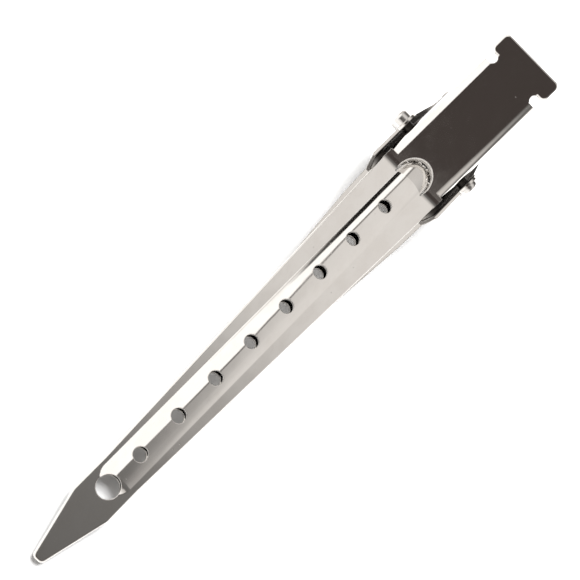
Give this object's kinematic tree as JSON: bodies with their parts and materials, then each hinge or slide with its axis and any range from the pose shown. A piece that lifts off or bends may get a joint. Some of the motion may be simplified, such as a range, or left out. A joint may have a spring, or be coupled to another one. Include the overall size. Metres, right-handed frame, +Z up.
{
  "type": "duckbill hair clip",
  "caption": "Long steel duckbill hair clip: two ribbed, pierced jaws closed by a coil spring, opened by squeezing two bent handles.",
  "frame": {"origin": "middle of the clip's box, on the surface that it lies on", "axes": "+X along the clip from the pointed tip to the handles, +Y across it along the pivot pin, +Z up"},
  "size_m": [0.0876, 0.0142, 0.0206],
  "materials": {
    "upper_sheet": "bright nickel plate over stamped sheet steel",
    "lower_sheet": "bright nickel plate over stamped sheet steel",
    "pin_steel": "plated rivet, headed cold",
    "spring_wire": "drawn spring wire"
  },
  "bodies": {
    "lower": {"lower_jaw": "lower_sheet", "pivot_pin": "pin_steel", "spring": "spring_wire"},
    "upper": {"upper_jaw": "upper_sheet"}
  },
  "joints": [
    {"name": "jaw_hinge", "type": "hinge", "parent": "lower", "child": "upper", "pos_m": [0.0282, -0.0003, 0.00872], "axis": [0, 1, 0], "range_deg": [0, 42], "stiffness_Nm_per_rad": 0.12, "springref_deg": -20.05, "deforming": ["spring"]}
  ]
}
